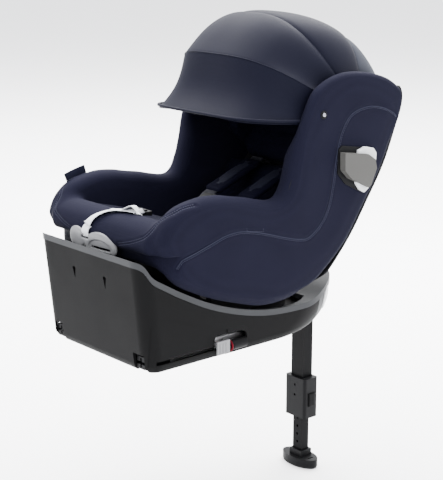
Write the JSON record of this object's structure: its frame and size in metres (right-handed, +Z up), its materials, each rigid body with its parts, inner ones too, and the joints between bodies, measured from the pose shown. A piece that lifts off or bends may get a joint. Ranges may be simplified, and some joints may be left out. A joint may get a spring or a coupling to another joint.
{
  "type": "convertible car seat",
  "caption": "Padded swivelling child car seat with folding hood and harness on a base with a tall front panel, retractable anchorage arms and a telescopic support leg.",
  "frame": {"origin": "the turntable axis at the flat underside of the base", "axes": "+Z up, -Y towards the tall panel and the child's feet, +Y towards the seat back and the support leg, +X to the right of a person looking along +Y"},
  "size_m": [0.448, 0.7297, 1.088],
  "materials": {
    "base_plastic": "fine textured",
    "rim_plastic": "satin",
    "inner_plastic": "matt",
    "black_plastic": "matt",
    "pale_plastic": "satin",
    "light_button": "satin",
    "steel": "brushed",
    "leg_metal": "powder coated",
    "rubber": "matt",
    "navy_fabric": "knitted",
    "inner_fabric": "knitted",
    "canopy_fabric": "smooth knit",
    "webbing": "woven",
    "strap_webbing": "woven",
    "handle_grey": "satin",
    "guard_plastic": "satin",
    "red_plastic": "gloss"
  },
  "bodies": {
    "base": {"base_shell": "base_plastic", "base_rim": "rim_plastic", "base_floor": "inner_plastic", "base_deck": "inner_plastic", "bearing_rollers": "steel", "lock_guide": "inner_plastic", "lock_spring": "steel", "isofix_rails": "steel", "side_knobs": "black_plastic", "leg_bracket": "steel", "leg_hinge_pin": "steel"},
    "turntable": {"turntable_disc": "inner_plastic", "recline_rails": "inner_plastic"},
    "lock_bolt": {"lock_bolt": "steel"},
    "rotation_button_right": {"rotation_button_right": "pale_plastic"},
    "rotation_button_left": {"rotation_button_left": "pale_plastic"},
    "isofix_right": {"isofix_arm_right": "steel", "isofix_connector_right": "black_plastic"},
    "isofix_button_right": {"isofix_button_right": "light_button"},
    "isofix_left": {"isofix_arm_left": "steel", "isofix_connector_left": "black_plastic"},
    "isofix_button_left": {"isofix_button_left": "light_button"},
    "leg_upper": {"leg_upper_tube": "leg_metal", "leg_clamp_housing": "black_plastic"},
    "leg_button_right": {"leg_button_right": "base_plastic"},
    "leg_button_left": {"leg_button_left": "base_plastic"},
    "leg_lower": {"leg_lower_tube": "leg_metal", "leg_foot": "black_plastic", "leg_foot_sole": "rubber"},
    "headrest": {"headrest_shell": "inner_plastic", "headrest_pad": "inner_fabric"},
    "headrest_lever": {"headrest_lever": "inner_plastic"},
    "buckle_button": {"buckle_button": "red_plastic"},
    "adjuster_button": {"adjuster_button": "black_plastic"},
    "recline_handle": {"recline_handle": "handle_grey"},
    "side_guard_right": {"side_guard_flap_right": "guard_plastic"},
    "side_guard_left": {"side_guard_flap_left": "guard_plastic"},
    "canopy_rear": {"canopy_bow_rear": "steel"},
    "canopy_front": {"canopy_bow_front": "steel"},
    "canopy_brim": {"canopy_bow_brim": "steel"},
    "seat": {"seat_shell": "inner_plastic", "seat_chassis": "inner_plastic", "back_panel": "inner_plastic", "side_cover_right": "navy_fabric", "side_cover_left": "navy_fabric", "front_cover": "navy_fabric", "seat_cushion": "inner_fabric", "back_cushion": "inner_fabric", "shoulder_belts": "webbing", "shoulder_pads": "inner_fabric", "lap_belts": "webbing", "harness_buckle": "black_plastic", "crotch_belt": "webbing", "crotch_pad": "inner_fabric", "adjuster_housing": "black_plastic", "adjuster_strap": "strap_webbing", "side_guard_bases": "pale_plastic", "side_guard_pins": "steel", "canopy_fabric": "canopy_fabric", "canopy_pins": "inner_plastic"}
  },
  "joints": [
    {"name": "seat_rotation", "type": "hinge", "parent": "base", "child": "turntable", "pos_m": [0, 0, 0.06], "axis": [0, 0, 1], "continuous": true},
    {"name": "seat_recline", "type": "hinge", "parent": "turntable", "child": "seat", "pos_m": [0, 0, 0.385], "axis": [-1, 0, 0], "range_deg": [0, 12]},
    {"name": "headrest_height", "type": "slide", "parent": "seat", "child": "headrest", "axis": [0, 0.5591, 0.8291], "range_m": [0, 0.035]},
    {"name": "headrest_release", "type": "slide", "parent": "headrest", "child": "headrest_lever", "axis": [0, 0.5591, 0.8291], "range_m": [0, 0.006], "stiffness_N_per_m": 600},
    {"name": "rotation_button_right_press", "type": "slide", "parent": "base", "child": "rotation_button_right", "axis": [-0.848, -0.53, 0], "range_m": [0, 0.004], "stiffness_N_per_m": 900},
    {"name": "rotation_button_left_press", "type": "slide", "parent": "base", "child": "rotation_button_left", "axis": [0.848, -0.53, 0], "range_m": [0, 0.004], "stiffness_N_per_m": 900},
    {"name": "lock_bolt_slide", "type": "slide", "parent": "base", "child": "lock_bolt", "axis": [0, 1, 0], "range_m": [-0.012, 0], "deforming": ["lock_spring"]},
    {"name": "isofix_slide_right", "type": "slide", "parent": "base", "child": "isofix_right", "axis": [0, -1, 0], "range_m": [0, 0.145]},
    {"name": "isofix_slide_left", "type": "slide", "parent": "base", "child": "isofix_left", "axis": [0, -1, 0], "range_m": [0, 0.145]},
    {"name": "isofix_release_right", "type": "slide", "parent": "isofix_right", "child": "isofix_button_right", "axis": [-1, 0, 0], "range_m": [0, 0.0012], "stiffness_N_per_m": 900},
    {"name": "isofix_release_left", "type": "slide", "parent": "isofix_left", "child": "isofix_button_left", "axis": [1, 0, 0], "range_m": [0, 0.0012], "stiffness_N_per_m": 900},
    {"name": "leg_fold", "type": "hinge", "parent": "base", "child": "leg_upper", "pos_m": [0, 0.27, 0.0215], "axis": [-1, 0, 0], "range_deg": [0, 84]},
    {"name": "leg_extend", "type": "slide", "parent": "leg_upper", "child": "leg_lower", "axis": [0, 0, -1], "range_m": [-0.085, 0.11]},
    {"name": "leg_button_right_press", "type": "slide", "parent": "leg_upper", "child": "leg_button_right", "axis": [-1, 0, 0], "range_m": [0, 0.0035], "stiffness_N_per_m": 900},
    {"name": "leg_button_left_press", "type": "slide", "parent": "leg_upper", "child": "leg_button_left", "axis": [1, 0, 0], "range_m": [0, 0.0035], "stiffness_N_per_m": 900},
    {"name": "buckle_button_press", "type": "slide", "parent": "seat", "child": "buckle_button", "axis": [0, 0.4201, -0.9075], "range_m": [0, 0.003], "stiffness_N_per_m": 900},
    {"name": "adjuster_button_press", "type": "slide", "parent": "seat", "child": "adjuster_button", "axis": [0, 0, -1], "range_m": [0, 0.0035], "stiffness_N_per_m": 900},
    {"name": "recline_handle_pull", "type": "slide", "parent": "seat", "child": "recline_handle", "axis": [0, -0.3256, 0.9455], "range_m": [0, 0.012], "stiffness_N_per_m": 600},
    {"name": "side_guard_right_open", "type": "hinge", "parent": "seat", "child": "side_guard_right", "pos_m": [0.213, 0.261, 0.3335], "axis": [0, 0.4392, 0.8984], "range_deg": [0, 75]},
    {"name": "side_guard_left_open", "type": "hinge", "parent": "seat", "child": "side_guard_left", "pos_m": [-0.213, 0.261, 0.3335], "axis": [0, -0.4392, -0.8984], "range_deg": [0, 75]},
    {"name": "canopy_fold", "type": "hinge", "parent": "seat", "child": "canopy_rear", "pos_m": [0, 0.259, 0.451], "axis": [-1, 0, 0], "range_deg": [0, 74], "deforming": ["canopy_fabric"]},
    {"name": "canopy_front_fold", "type": "hinge", "parent": "canopy_rear", "child": "canopy_front", "pos_m": [0, 0.259, 0.451], "axis": [-1, 0, 0], "range_deg": [0, 15.5]},
    {"name": "canopy_brim_fold", "type": "hinge", "parent": "canopy_front", "child": "canopy_brim", "pos_m": [0, 0.259, 0.451], "axis": [-1, 0, 0], "range_deg": [0, 16.5]}
  ],
  "couplings": [
    {"joint": "leg_button_left_press", "follows": "leg_button_right_press", "ratio": 1},
    {"joint": "canopy_front_fold", "follows": "canopy_fold", "ratio": 0.20946},
    {"joint": "canopy_brim_fold", "follows": "canopy_fold", "ratio": 0.22297}
  ]
}
